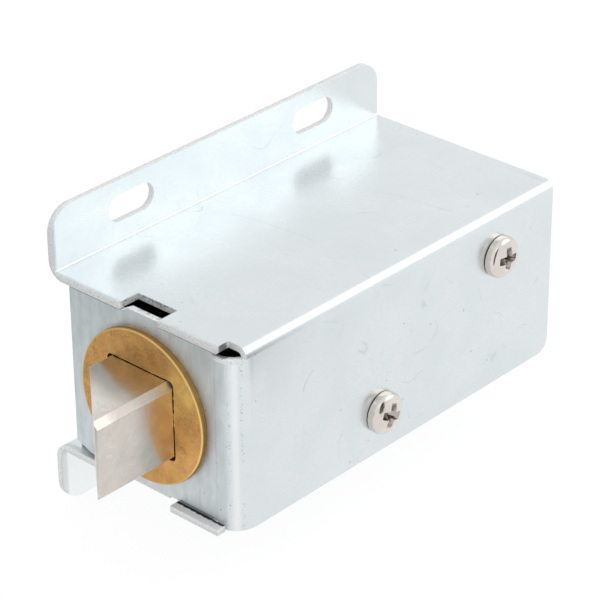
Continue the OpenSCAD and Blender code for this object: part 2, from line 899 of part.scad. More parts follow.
module return_spring() color(nickel)
  polyhedron(
    points = [
      for (i = [0:ring_count], k = [0:wire_sides - 1])
        wire_point(i, k)
    ],
    faces = concat(
      [[for (k = [0:wire_sides - 1]) k]],
      [
        for (i = [0:ring_count - 1], k = [0:wire_sides - 1])
          let (a = i * wire_sides, b = (k + 1) % wire_sides)
            [a + k, a + wire_sides + k, a + wire_sides + b]
      ],
      [
        for (i = [0:ring_count - 1], k = [0:wire_sides - 1])
          let (a = i * wire_sides, b = (k + 1) % wire_sides)
            [a + k, a + wire_sides + b, a + b]
      ],
      [[for (k = [wire_sides - 1:-1:0]) ring_count * wire_sides + k]]
    )
  );

// Pan head screw with a cross recess; the head lies on the screwed side
module side_screw(place, recess_turn)
  translate([place.x, body_depth + fit, place.y])
    rotate([-90, 0, 0])
      difference() {
        union() {
          rotate_extrude()
            pan_head_profile();
          translate([0, 0, yoke_inner - screw_past - body_depth])
            cylinder(h = body_depth - yoke_inner + screw_past + sliver, d = screw_d - 2 * fit);
        }
        for (turn = [0, 90])
          rotate([0, 0, turn - recess_turn])
            translate([-recess_length / 2, -recess_width / 2, head_height - recess_depth])
              cube([recess_length, recess_width, recess_depth + over]);
      }

// Half section of the pan head: a short rim under a low dome
module pan_head_profile() {
  dome = head_height - head_rim;
  dome_r = (pow(head_d / 2, 2) + pow(dome, 2)) / (2 * dome);
  square([head_d / 2, head_rim]);
  intersection() {
    translate([0, head_height - dome_r])
      circle(dome_r);
    square([head_d / 2, head_height]);
  }
}

module wire_grommet() color(rubber)
  translate([0, lead_y, lead_z])
    rotate([0, 90, 0])
      rotate_extrude()
        difference() {
          rect(
            [lead_hole_d / 2, base_rear - grommet_lip],
            [grommet_d / 2 + grommet_lip, rear_wall_front + grommet_lip]
          );
          rect(
            [grommet_d / 2, base_rear - fit],
            [grommet_d / 2 + grommet_lip + over, rear_wall_front + fit]
          );
        }

outer_cover();
base_frame();
back_plate();
solenoid_yoke();
coil_bobbin();
coil_winding();
coil_tape();
coil_terminals();
guide_tube();
fixed_core();
core_lock_washer();
core_nut();
core_cushion();
plunger();
latch_bolt();
bolt_pin();
stop_washer();
return_spring();
bumper_washer();
guide_ring();
ring_washer();
ring_clip();
color(nickel) side_screw(upper_screw, upper_recess_turn);
color(nickel) side_screw(lower_screw, lower_recess_turn);
wire_grommet();
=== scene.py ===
import json
import math
import random

import bmesh
import bpy
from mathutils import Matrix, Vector
from mathutils.bvhtree import BVHTree

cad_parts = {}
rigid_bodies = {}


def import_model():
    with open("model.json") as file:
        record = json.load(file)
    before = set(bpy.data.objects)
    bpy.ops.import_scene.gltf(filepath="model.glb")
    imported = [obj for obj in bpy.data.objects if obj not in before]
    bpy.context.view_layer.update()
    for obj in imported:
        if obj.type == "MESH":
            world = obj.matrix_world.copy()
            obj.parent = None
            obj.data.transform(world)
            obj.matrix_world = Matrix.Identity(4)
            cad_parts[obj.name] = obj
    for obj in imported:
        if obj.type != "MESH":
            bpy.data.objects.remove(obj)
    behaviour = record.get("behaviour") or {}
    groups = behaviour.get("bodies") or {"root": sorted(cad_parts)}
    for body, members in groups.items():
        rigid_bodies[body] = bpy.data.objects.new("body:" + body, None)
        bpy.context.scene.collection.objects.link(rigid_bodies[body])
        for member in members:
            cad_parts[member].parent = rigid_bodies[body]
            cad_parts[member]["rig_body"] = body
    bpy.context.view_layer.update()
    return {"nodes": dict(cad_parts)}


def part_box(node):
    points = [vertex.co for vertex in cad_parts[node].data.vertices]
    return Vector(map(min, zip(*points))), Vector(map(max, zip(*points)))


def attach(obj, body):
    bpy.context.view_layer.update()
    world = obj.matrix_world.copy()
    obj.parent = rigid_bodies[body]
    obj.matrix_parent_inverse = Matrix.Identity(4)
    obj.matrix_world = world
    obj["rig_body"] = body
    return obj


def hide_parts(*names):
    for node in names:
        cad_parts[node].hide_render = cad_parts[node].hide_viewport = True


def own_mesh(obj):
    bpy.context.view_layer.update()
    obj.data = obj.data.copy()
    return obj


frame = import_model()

MM = 0.001

# Sizes of the lock that the scene's own pieces repeat, in millimetres
# Cover: sheet, outer faces, upright fold with its slit, and the coined corner of the flange
SHEET = 0.8
FRONT = 27.0
SIDE = 27.8
TOP = 11.25
FOLD_R = 2.95
FOLD_START = SIDE - FOLD_R
FOLD_TOP = TOP - 1.3
SLIT_FLOOR = FOLD_TOP - 0.05
COIN_R = 0.3
COIN_MIDDLE = (SHEET + COIN_R, TOP + COIN_R)
# How far shearing has rolled over the end of the upright fold
ROLL = 0.42
# Bolt, guide and the level that the lock stands on
AXIS_Y = 14.675
AXIS_Z = 0.2
NOSE = 39.0
CHAMFER_REACH = 9.05
RING_FRONT = FRONT + 1.0
HOLE_HALF = 4.98
FLOOR = -18.65
# Screws
SCREW_PLACES = ((-16.6, 5.5), (3.6, -6.1))
SCREW_TURNS = (-5, -20)
HEAD_R = 2.5
HEAD_HEIGHT = 1.7
SHOULDER_R = 0.75
SHOULDER_LEVEL = 0.6
SHOULDER_TURN = 68
# Return spring and winding
SPRING_START = 8.1
SPRING_END = 21.45
SPRING_R = 4.8
SPRING_WIRE = 0.55
TURN_WIRE = 0.4
WINDING_TURNS = 58
# Places of a painted highlight, as (Y, Z) on the disc, and of a painted shade spot, as (X, Y) in the relief
HIGHLIGHT_SPOT = (21.3, 4.8)
SHADED_SPOT = (FRONT - 0.90, 25.27)

# Tolerances in millimetres and degrees for the CAD meshes' own corners
NEAR = 0.01
DOUBLE = 0.002
FLAT = 0.5


def at(x, y, z):
    """A place in the part's frame, given in millimetres."""
    return Vector((x, y, z)) * MM


def new_object(name, data):
    """An object of the scene with this data."""
    made = bpy.data.objects.new(name, data)
    bpy.context.scene.collection.objects.link(made)
    return made


# Camera
eye = new_object("eye", bpy.data.cameras.new("eye"))
eye.data.lens = 163.84
eye.data.sensor_width = 36.0
eye.location = at(200.975, 197.008, 153.533)
eye.rotation_euler = [math.radians(a) for a in (60.7744, 0.4199, 132.3512)]
bpy.context.scene.camera = eye
bpy.context.scene.view_settings.view_transform = "Standard"


class Network:
    """Short calls that add and join the nodes of one material, group or geometry tree."""

    def __init__(self, tree):
        self.tree = tree
        self.column = 0

    def node(self, kind, **settings):
        made = self.tree.nodes.new(kind)
        made.location = (190 * (self.column % 12), -260 * (self.column // 12))
        self.column += 1
        for name, value in settings.items():
            setattr(made, name, value)
        return made

    def feed(self, socket, value):
        if isinstance(value, bpy.types.NodeSocket):
            self.tree.links.new(value, socket)
        elif socket.type == "RGBA":
            socket.default_value = (*value[:3], 1.0)
        else:
            socket.default_value = value

    def fill(self, node, values):
        for name, value in values.items():
            self.feed(node.inputs[name], value)
        return node

    def math(self, operation, *values, clamp=False):
        made = self.node("ShaderNodeMath", operation=operation, use_clamp=clamp)
        for socket, value in zip(made.inputs, values):
            self.feed(socket, value)
        return made.outputs[0]

    def times(self, first, *more):
        for value in more:
            first = self.math("MULTIPLY", first, value)
        return first

    def total(self, *parts, plus=0.0):
        """The sum of (value, share) pairs, each value taken by its share, and of one plain value."""
        for value, share in parts:
            plus = self.math("ADD", self.times(value, share), plus)
        return plus

    def rest(self, value):
        """What is left of 1."""
        return self.math("SUBTRACT", 1.0, value)

    def off(self, coordinate, middle):
        """How far a coordinate lies from a place given in millimetres."""
        return self.math("ABSOLUTE", self.math("SUBTRACT", coordinate, middle * MM))

    def off_spot(self, first, second, spot):
        """How far two coordinates lie from a spot given in millimetres."""
        squares = [self.math("POWER", self.off(*pair), 2.0) for pair in ((first, spot[0]), (second, spot[1]))]
        return self.math("SQRT", self.math("ADD", *squares))

    def vector_math(self, operation, *values):
        made = self.node("ShaderNodeVectorMath", operation=operation)
        for socket, value in zip(made.inputs, values):
            self.feed(socket, value)
        return made.outputs[0]

    def enlarged(self, vector, factor):
        made = self.node("ShaderNodeVectorMath", operation="SCALE")
        self.feed(made.inputs[0], vector)
        self.feed(made.inputs["Scale"], factor)
        return made.outputs[0]

    def noise(self, vector, detail=2.0, roughness=0.5, distortion=0.0, output="Fac"):
        made = self.node("ShaderNodeTexNoise")
        self.fill(made, {"Vector": vector, "Scale": 1.0, "Detail": detail})
        self.fill(made, {"Roughness": roughness, "Distortion": distortion})
        return made.outputs[output]

    def ramp(self, value, low, high, to_low=0.0, to_high=1.0):
        made = self.node("ShaderNodeMapRange", interpolation_type="SMOOTHSTEP")
        self.fill(made, {"Value": value, "From Min": low, "From Max": high})
        self.fill(made, {"To Min": to_low, "To Max": to_high})
        return made.outputs[0]

    def step(self, coordinate, low, high, to_low=0.0, to_high=1.0):
        """A smooth step between two places given in millimetres."""
        return self.ramp(coordinate, low * MM, high * MM, to_low, to_high)

    def mix(self, factor, first, second):
        made = self.node("ShaderNodeMix", data_type="RGBA")
        for index, value in ((0, factor), (6, first), (7, second)):
            self.feed(made.inputs[index], value)
        return made.outputs[2]

    def coated(self, colour, *coats):
        """A colour with coats laid over it one by one: (mask, amount, colour) each."""
        for mask, amount, shade in coats:
            colour = self.mix(self.times(mask, amount), colour, shade)
        return colour

    def between(self, factor, first, second):
        made = self.node("ShaderNodeMix", data_type="FLOAT")
        for index, value in ((0, factor), (2, first), (3, second)):
            self.feed(made.inputs[index], value)
        return made.outputs[0]

    def placed(self, vector, scale=(1, 1, 1), turn=(0, 0, 0), shift=(0, 0, 0)):
        made = self.node("ShaderNodeMapping")
        self.fill(made, {"Vector": vector, "Scale": scale, "Rotation": turn, "Location": shift})
        return made.outputs[0]

    def bump(self, height, distance, strength):
        """A normal from a height; the distance is in millimetres."""
        made = self.node("ShaderNodeBump")
        self.fill(made, {"Height": height, "Distance": distance * MM, "Strength": strength})
        return made.outputs[0]

    def mark(self, name):
        return self.node("ShaderNodeAttribute", attribute_name=name).outputs["Fac"]

    def effect(self, name, place, size, **values):
        """The outputs of a shared surface effect, whose pattern has this size in millimetres."""
        made = self.node("ShaderNodeGroup", node_tree=bpy.data.node_groups[name])
        return self.fill(made, {"Vector": place, "Size": size, **values}).outputs

    def cloud(self, place, size, contrast):
        return self.effect("cloudy tone", place, size, Contrast=contrast)[0]

    def hairs(self, place, size, width, amount):
        return self.effect("hairline scratches", place, size, Width=width, Amount=amount)[0]

    def specks(self, place, size, radius, amount):
        return self.effect("specks", place, size, Radius=radius, Amount=amount)[0]

    def grain(self, place, size, stretch):
        return self.effect("drawn grain", place, size, Stretch=stretch)[0]

    def worn(self, place, size, wear):
        return self.effect("worn edge", place, size, Edge=self.mark("edge"), Wear=wear)[0]

    def axes(self, vector):
        return self.fill(self.node("ShaderNodeSeparateXYZ"), {"Vector": vector}).outputs


def new_group(name, inputs, outputs, kind="ShaderNodeTree"):
    """An empty node group with these named sockets, and its two end nodes."""
    tree = bpy.data.node_groups.new(name, kind)
    for in_out, sockets in (("INPUT", inputs), ("OUTPUT", outputs)):
        for label, socket_kind, value in sockets:
            socket = tree.interface.new_socket(name=label, in_out=in_out, socket_type=socket_kind)
            if value is not None:
                socket.default_value = value
    net = Network(tree)
    return net, net.node("NodeGroupInput").outputs, net.node("NodeGroupOutput").inputs


def value_socket(label, value=0.0):
    return (label, "NodeSocketFloat", value)


def new_effect(name, inputs, outputs):
    """A group of a surface effect, and its object coordinates counted in steps of its Size."""
    shared = [("Vector", "NodeSocketVector", None), value_socket("Size", 1.0)]
    net, given, out = new_group(name, [*shared, *inputs], [value_socket(label) for label in outputs])
    place = net.enlarged(given["Vector"], net.math("DIVIDE", 1.0 / MM, given["Size"]))
    return net, given, out, place


# Shared surface effects
# Cloudy tone: slow uneven shading, as plating and handling leave it
net, given, out, place = new_effect("cloudy tone", [value_socket("Contrast", 1.0)], ["Tone"])
coarse = net.noise(place, detail=3.0, roughness=0.55, distortion=0.4)
spread = net.times(net.math("SUBTRACT", coarse, 0.5), net.times(given["Contrast"], 2.6))
net.feed(out["Tone"], net.math("ADD", spread, 0.5, clamp=True))

# Hairline scratches: thin long curves, broken up along their length
net, given, out, place = new_effect(
    "hairline scratches", [value_socket("Width", 0.02), value_socket("Amount", 0.5)], ["Mask"]
)
open_from = net.math("SUBTRACT", 0.75, net.times(given["Amount"], 0.4))
lines = 0.0
for turn, stretch, shift in ((0.5, 0.35, 3.1), (-0.9, 0.22, 11.7), (1.9, 0.3, 23.3)):
    way = net.placed(place, (1.0, stretch, 1.0), (turn, 0.4 * turn, turn), (shift, shift, 0.5 * shift))
    away = net.math("ABSOLUTE", net.math("SUBTRACT", net.noise(way, detail=1.0, roughness=0.4), 0.5))
    line = net.rest(net.ramp(away, 0.0, given["Width"]))
    gate = net.noise(net.enlarged(way, 1.7), detail=2.0, roughness=0.6)
    kept = net.ramp(gate, open_from, net.math("ADD", open_from, 0.08))
    lines = net.math("MAXIMUM", net.times(line, kept), lines)
net.feed(out["Mask"], lines)

# Specks: small scattered dots and pits
net, given, out, place = new_effect(
    "specks", [value_socket("Radius", 0.2), value_socket("Amount", 0.2)], ["Mask"]
)
wobble = net.noise(net.enlarged(place, 2.3), output="Color")
cells = net.node("ShaderNodeTexVoronoi")
net.fill(cells, {"Vector": net.vector_math("ADD", place, net.enlarged(wobble, 0.35)), "Scale": 1.0})
chance = net.axes(cells.outputs["Color"])
chosen = net.math("GREATER_THAN", given["Amount"], chance[0])
reach = net.times(given["Radius"], net.math("ADD", 0.4, chance[1]))
dot = net.rest(net.ramp(cells.outputs["Distance"], net.times(reach, 0.5), reach))
net.feed(out["Mask"], net.times(dot, chosen))

# Drawn grain: fine parallel lines along the direction in which the metal was drawn or brushed
net, given, out, place = new_effect(
    "drawn grain", [("Stretch", "NodeSocketVector", (0.05, 1.0, 1.0))], ["Height"]
)
along = net.vector_math("MULTIPLY", place, given["Stretch"])
net.feed(out["Height"], net.noise(along, detail=4.0, roughness=0.65))

# Worn edge: the softened edge shows brighter metal here and there
net, given, out, place = new_effect("worn edge", [value_socket("Edge"), value_socket("Wear", 0.6)], ["Mask"])
open_from = net.math("SUBTRACT", 0.8, net.times(given["Wear"], 0.6))
kept = net.ramp(net.noise(place, detail=3.0, roughness=0.6), open_from, net.math("ADD", open_from, 0.12))
net.feed(out["Mask"], net.times(kept, given["Edge"]))

# Sheared wall: a smooth rolled band on one side of the cut and a torn band with streaks on the other
net, given, out, place = new_effect("sheared wall", [value_socket("Across")], ["Torn", "Height"])
wander = net.times(net.math("SUBTRACT", net.noise(place, detail=3.0), 0.5), 0.5)
torn = net.ramp(net.math("ADD", given["Across"], wander), 0.42, 0.55)
rough = net.noise(net.enlarged(place, 3.0), detail=5.0, roughness=0.7)
net.feed(out["Torn"], torn)
net.feed(out["Height"], net.times(rough, net.between(torn, 0.25, 1.0)))


def new_material(name, **settings):
    """A material, its network, its object coordinates and its shader with these plain settings."""
    made = bpy.data.materials.new(name)
    made.use_nodes = True
    net = Network(made.node_tree)
    shader = made.node_tree.nodes["Principled BSDF"]
    shader.location = (2500, 0)
    made.node_tree.nodes["Material Output"].location = (2800, 0)
    net.fill(shader, {label.replace("_", " "): value for label, value in settings.items()})
    return made, net, net.node("ShaderNodeTexCoord").outputs["Object"], shader


def painted_gap_shadow(net, place):
    """Black painted shadow in the gap between the locking lip and the front plate, with a ragged end."""
    sideways, depthways, upwards = net.axes(place)
    shadow_end = net.total((net.cloud(place, 0.5, 1.2), 0.16 * MM), plus=(FRONT + 0.34) * MM)
    return net.times(
        net.step(net.math("SUBTRACT", sideways, shadow_end), 0.04, -0.04),
        net.step(sideways, FRONT + 0.03, FRONT + 0.06),
        net.step(upwards, -10.0, -10.2),
        net.step(depthways, 9.0, 10.0),
    )


def upright_fold(net, place):
    """The upright fold: a painted highlight along its middle, and a row of pits on either side."""
    sideways, depthways, _ = net.axes(place)
    on_fold = net.times(
        net.step(sideways, FRONT - 2.2, FRONT - 1.4), net.step(depthways, SIDE - 2.2, SIDE - 1.4)
    )
    off_middle = net.off(net.math("SUBTRACT", sideways, depthways), FRONT - SIDE)
    fold_highlight = net.times(net.rest(net.step(off_middle, 0.1, 0.8)), on_fold)
    row = net.rest(net.step(net.off(off_middle, 0.97), 0.08, 0.42))
    pits = net.times(net.specks(place, 0.27, 0.55, 0.7), row, on_fold, net.cloud(place, 0.9, 2.0))
    return fold_highlight, pits


def wall_blotches_and_shade(net, place):
    """Dark patches on the cut walls behind the front plate: blotches in the notch, and one spot of painted
    shade in the relief's opening.
    """
    sideways, depthways, upwards = net.axes(place)
    behind = net.times(
        net.step(sideways, FRONT - 0.25, FRONT - 0.6), net.step(sideways, FRONT - 4.0, FRONT - 3.6),
        net.step(upwards, 9.0, 9.6), net.step(upwards, 11.6, 11.4),
    )
    blotches = net.ramp(net.cloud(place, 0.6, 2.4), 0.50, 1.00)
    in_notch = net.times(blotches, net.step(depthways, 22.0, 21.0, 0.0, 0.55))
    off_spot = net.off_spot(sideways, depthways, SHADED_SPOT)
    ragged = net.total((net.cloud(place, 0.9, 2.0), 0.25 * MM), plus=off_spot)
    return net.times(net.math("MAXIMUM", in_notch, net.step(ragged, 0.95, 0.75)), behind)


def zinc_sheet():
    """Bright zinc plate on folded sheet, with its sheared walls."""
    made, net, place, shader = new_material("zinc_sheet", Specular_IOR_Level=0.6)
    sideways, depthways, upwards = net.axes(place)
    tone = net.cloud(place, 7.0, 0.8)
    scratch = net.hairs(place, 9.0, 0.006, 0.42)
    speck = net.specks(place, 1.5, 0.1, 0.2)
    # Handling has dulled the front plate, which is painted darker in uneven smudges, partly smudges of
    # handling and partly painted shade, and a pressed line where its upright fold starts is painted darker,
    # as painted shade
    front = net.step(sideways, FRONT - 0.6, FRONT - 0.1)
    smudge_and_shade = net.cloud(net.placed(place, (1.0, 1.0, 0.3), (0.7, 0.0, 0.0)), 1.1, 1.5)
    crease_and_shade = net.times(net.rest(net.step(net.off(depthways, FOLD_START), 0.01, 0.07)), front)
    # What stands out in front of the front plate, and the lower flange, are painted lighter, as painted light
    ahead = net.step(sideways, FRONT + 0.2, FRONT + 0.5)
    lowest = net.step(upwards, -11.4, -12.2)
    fold_highlight, pits = upright_fold(net, place)
    skin = net.coated(
        (0.755, 0.80, 0.815),
        (tone, 0.7, (0.695, 0.745, 0.765)),
        (net.cloud(place, 0.9, 0.7), 0.2, (0.64, 0.685, 0.70)),
        (scratch, 0.3, (0.48, 0.52, 0.535)),
        (speck, 0.5, (0.36, 0.40, 0.41)),
        (net.times(smudge_and_shade, front), 0.5, (0.53, 0.575, 0.58)),
        (net.math("MAXIMUM", ahead, lowest), 1.0, (0.90, 0.925, 0.93)),
        # Painted shadow: black in the gap between the locking lip and the front plate
        (painted_gap_shadow(net, place), 1.0, (0.03, 0.042, 0.045)),
        (crease_and_shade, 0.35, (0.42, 0.455, 0.47)),
        # Painted highlight along the middle of the upright fold
        (fold_highlight, 0.8, (0.84, 0.86, 0.855)),
        (pits, 0.6, (0.44, 0.42, 0.38)),
    )
    wall = net.effect("sheared wall", place, 0.5, Across=net.mark("across"))
    streak = net.ramp(net.grain(place, 0.16, (1.0, 1.0, 1.0)), 0.34, 0.56)
    wall_tone = net.mix(wall["Torn"], (0.93, 0.935, 0.925), (0.85, 0.85, 0.835))
    wall_tone = net.mix(streak, (0.66, 0.665, 0.655), wall_tone)
    # Dark blotches in the notch, and painted shade on the relief's walls
    wall_tone = net.coated(wall_tone, (wall_blotches_and_shade(net, place), 0.85, (0.10, 0.135, 0.14)))
    cut = net.mark("cut")
    colour = net.mix(cut, skin, wall_tone)
    skin_rough = net.total((tone, 0.07), (scratch, 0.08), (front, 0.22), plus=0.245)
    skin_metal = net.between(ahead, net.between(front, 1.0, 0.58), 0.3)
    pebble = net.cloud(place, 0.22, 1.0)
    relief = net.total((pebble, 0.08), (scratch, -0.2), (speck, -0.8), (pits, -1.2), (crease_and_shade, -1.0))
    net.fill(shader, {
        "Base Color": net.coated(colour, (net.worn(place, 0.8, 0.7), 0.5, (0.84, 0.87, 0.88))),
        "Roughness": net.between(cut, skin_rough, net.between(wall["Torn"], 0.40, 0.55)),
        "Metallic": net.between(cut, skin_metal, 0.25),
        "Normal": net.bump(net.between(cut, relief, net.times(wall["Height"], 6.0)), 0.01, 0.6),
    })
    return made


def brushed_brass():
    """The guide's turned brass, a little tarnished, with random fine brushing."""
    made, net, place, shader = new_material("brushed_brass", Metallic=1.0)
    _, depthways, upwards = net.axes(place)
    tone = net.cloud(place, 1.9, 1.5)
    grit = net.cloud(place, 0.28, 1.6)
    speck = net.specks(place, 0.9, 0.12, 0.25)
    hair = net.hairs(place, 3.0, 0.012, 0.8)
    # One patch of the disc is painted bright, as a painted highlight, and its lower part is painted darker,
    # as painted shade
    near_patch = net.step(net.off_spot(depthways, upwards, HIGHLIGHT_SPOT), 4.8, 0.8)
    painted_highlight = net.times(near_patch, net.ramp(tone, 0.1, 0.7, 1.0, 0.6))
    lower = net.step(upwards, -3.0, -8.0)
    # The side walls are painted darker: partly tarnish where the brushing didn't reach, partly painted shade
    facing = net.axes(net.node("ShaderNodeTexCoord").outputs["Normal"])[0]
    flank_tarnish_and_shade = net.rest(net.ramp(net.math("ABSOLUTE", facing), 0.3, 0.7))
    colour = net.coated(
        net.mix(tone, (0.80, 0.44, 0.15), (0.55, 0.285, 0.10)),
        (grit, 0.6, (0.90, 0.55, 0.19)),
        (speck, 0.55, (0.26, 0.14, 0.06)),
        (hair, 0.25, (0.80, 0.55, 0.27)),
        (net.worn(place, 0.6, 1.1), 0.85, (0.98, 0.68, 0.25)),
        (painted_highlight, 1.0, (1.0, 0.70, 0.24)),
        (lower, 0.4, (0.50, 0.26, 0.09)),
        (flank_tarnish_and_shade, 0.65, (0.20, 0.115, 0.045)),
    )
    relief = net.total((net.grain(place, 0.13, (1.0, 0.35, 1.0)), 1.4), (speck, -1.0), (hair, -0.3))
    net.fill(shader, {
        "Base Color": colour,
        "Roughness": net.total((grit, 0.10), plus=0.50),
        "Normal": net.bump(relief, 0.01, 0.55),
    })
    return made


def bolt_nickel():
    """Satin plated bolt with fine specks, pits on the nose and bright edges."""
    made, net, place, shader = new_material("bolt_nickel", Metallic=1.0)
    sideways, depthways, upwards = net.axes(place)
    tone = net.cloud(place, 3.0, 0.9)
    grit = net.cloud(place, 0.16, 1.2)
    speck = net.specks(place, 0.8, 0.11, 0.22)
    hair = net.hairs(place, 2.5, 0.012, 0.75)
    pits = net.times(net.specks(place, 0.4, 0.3, 0.35), net.step(sideways, NOSE - 0.15, NOSE - 0.05))
    # The chamfers along the bolt were left as ground, and are worn smooth only by the nose
    off_axis = net.math("ADD", net.off(depthways, AXIS_Y), net.off(upwards, AXIS_Z))
    ground = net.times(
        net.step(off_axis, CHAMFER_REACH - 0.12, CHAMFER_REACH - 0.04),
        net.step(sideways, NOSE - 1.0, NOSE - 3.5),
    )
    colour = net.coated(
        net.mix(tone, (0.69, 0.64, 0.58), (0.585, 0.545, 0.495)),
        (grit, 0.25, (0.72, 0.70, 0.67)),
        (speck, 0.45, (0.27, 0.25, 0.23)),
        (hair, 0.3, (0.80, 0.78, 0.75)),
        (pits, 0.8, (0.16, 0.14, 0.13)),
        (net.worn(place, 0.5, 1.0), 0.6, (0.90, 0.88, 0.84)),
    )
    relief = net.total((net.grain(place, 0.10, (0.3, 1.0, 1.0)), 0.5), (speck, -1.0), (hair, -0.3))
    net.fill(shader, {
        "Base Color": colour,
        "Roughness": net.total((grit, 0.08), (ground, 0.24), plus=0.19),
        "Normal": net.bump(relief, 0.01, 0.5),
    })
    return made


def plated_metal(name, light, dark, roughness, grain_size, stretch):
    """A plain turned or drawn metal, for the screws and the solenoid's steel pieces."""
    made, net, place, shader = new_material(name, Metallic=1.0)
    tone = net.cloud(place, 2.2, 0.8)
    speck = net.specks(place, 1.0, 0.1, 0.15)
    # Painted shade in the driver recess, darker with depth
    recess_shade = (0.13, 0.10, 0.085)
    colour = net.coated(
        net.mix(tone, light, dark),
        (speck, 0.4, [0.5 * part for part in dark]),
        (net.worn(place, 0.5, 0.8), 0.5, [0.5 * (1.0 + part) for part in light]),
        (net.mark("recess"), 0.65, recess_shade),
    )
    relief = net.total((net.grain(place, grain_size, stretch), 0.35), (speck, -1.0))
    net.fill(shader, {
        "Base Color": colour,
        "Roughness": net.total((tone, 0.06), plus=roughness),
        "Normal": net.bump(relief, 0.01, 0.4),
    })
    return made


def enamelled_copper():
    """Copper wire under clear amber enamel."""
    made, net, place, shader = new_material(
        "enamelled_copper", Metallic=0.85, Coat_Weight=0.7, Coat_Roughness=0.08, Coat_IOR=1.5
    )
    tone = net.cloud(place, 3.5, 0.9)
    net.fill(shader, {
        "Base Color": net.mix(tone, (0.62, 0.22, 0.08), (0.46, 0.13, 0.045)),
        "Roughness": net.total((tone, 0.1), plus=0.25),
    })
    return made


def soft_stuff(name, light, dark, roughness, size, distance):
    """Moulded nylon and rubber: a matt skin with a fine uneven grain."""
    made, net, place, shader = new_material(name, IOR=1.5)
    pebble = net.cloud(place, size, 1.2)
    colour = net.mix(net.cloud(place, 2.5, 0.7), light, dark)
    speck = net.specks(place, 1.2, 0.08, 0.2)
    net.fill(shader, {
        "Base Color": net.coated(colour, (speck, 0.3, [0.5 + 0.5 * part for part in light])),
        "Roughness": net.total((pebble, 0.15), plus=roughness),
        "Normal": net.bump(pebble, distance, 0.6),
    })
    return made


def winding_tape():
    """Clear yellow tape lapped round the winding, with its overlap lines."""
    made, net, place, shader = new_material("winding_tape", IOR=1.5)
    tone = net.cloud(place, 4.0, 0.8)
    lap = net.math("FRACT", net.math("DIVIDE", net.axes(place)[0], 6.0 * MM))
    overlap = net.ramp(lap, 0.0, 0.05)
    yellow = net.mix(tone, (0.70, 0.42, 0.05), (0.58, 0.31, 0.035))
    net.fill(shader, {
        "Base Color": net.mix(overlap, (0.42, 0.21, 0.03), yellow),
        "Roughness": net.between(tone, 0.2, 0.32),
        "Normal": net.bump(overlap, 0.06, 0.6),
    })
    return made


zinc = zinc_sheet()
brass = brushed_brass()
bolt_metal = bolt_nickel()
nickel = plated_metal("screw_nickel", (0.74, 0.69, 0.64), (0.66, 0.61, 0.57), 0.13, 0.2, (1, 1, 1))
steel = plated_metal("solenoid_steel", (0.60, 0.60, 0.59), (0.50, 0.50, 0.50), 0.30, 0.12, (0.2, 1, 1))
spring_steel = plated_metal("spring_steel", (0.52, 0.52, 0.53), (0.42, 0.42, 0.43), 0.22, 0.1, (1, 1, 1))
tube_brass = plated_metal("tube_brass", (0.78, 0.52, 0.22), (0.68, 0.42, 0.17), 0.24, 0.12, (0.1, 1, 1))
tinned = plated_metal("tinned_pins", (0.72, 0.72, 0.70), (0.62, 0.62, 0.60), 0.25, 0.15, (1, 1, 1))
copper = enamelled_copper()
nylon = soft_stuff("bobbin_nylon", (0.80, 0.79, 0.74), (0.72, 0.71, 0.66), 0.42, 0.3, 0.02)
rubber = soft_stuff("black_rubber", (0.035, 0.035, 0.036), (0.022, 0.022, 0.023), 0.52, 0.25, 0.03)
tape = winding_tape()


def new_piece(name, mesh, material, body):
    """A finished piece of the scene on its body, with its material."""
    piece = new_object(name, mesh)
    mesh.materials.clear()
    mesh.materials.append(material)
    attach(piece, body)
    return piece


def opposite_distance(tree, face):
    """How much metal lies behind the middle of a face."""
    middle = face.calc_center_median()
    start = middle - face.normal * 1e-6
    hit = tree.ray_cast(start, -face.normal)
    return hit[3] if hit[0] is not None else 1.0


def mark_sheared(mesh, cut, across):
    """Marks the sheared walls of a folded sheet, and each of their corners by the skin it lies on."""
    tree = BVHTree.FromBMesh(mesh)
    # A face of either skin has about the sheet's thickness of metal behind it
    least, most = 0.4 * SHEET * MM, 1.12 * SHEET * MM
    skin = {face for face in mesh.faces if least < opposite_distance(tree, face) < most}
    # Neighbours on one side of the sheet, also round its folds, have normals with at least this product
    same_side = 0.8
    sides = []
    left = set(skin)
    while left:
        found = {left.pop()}
        waiting = list(found)
        while waiting:
            face = waiting.pop()
            for other in {other for edge in face.edges for other in edge.link_faces} & left:
                if other.normal.dot(face.normal) > same_side:
                    left.discard(other)
                    found.add(other)
                    waiting.append(other)
        sides.append(found)
    largest = max(sides, key=lambda found: sum(f.calc_area() for f in found))
    outer = {v for f in largest for v in f.verts}
    for face in mesh.faces:
        face[cut] = 0.0 if face in skin else 1.0
        for loop in face.loops:
            loop[across] = 0.0 if loop.vert in outer else 1.0


def join_doubles(mesh):
    bmesh.ops.remove_doubles(mesh, verts=mesh.verts, dist=DOUBLE * MM)


def join_flat_faces(mesh):
    bmesh.ops.dissolve_limit(
        mesh, angle_limit=math.radians(FLAT), verts=mesh.verts, edges=mesh.edges, delimit={"NORMAL"}
    )


def soften(mesh, edges, width, segments):
    """Rounds edges by a width in millimetres, and marks the new faces as edges."""
    rounded = bmesh.ops.bevel(
        mesh, geom=edges, offset=width * MM, segments=segments, profile=0.5,
        affect="EDGES", clamp_overlap=True,
    )
    for face in rounded["faces"]:
        face[mesh.faces.layers.float["edge"]] = 1.0


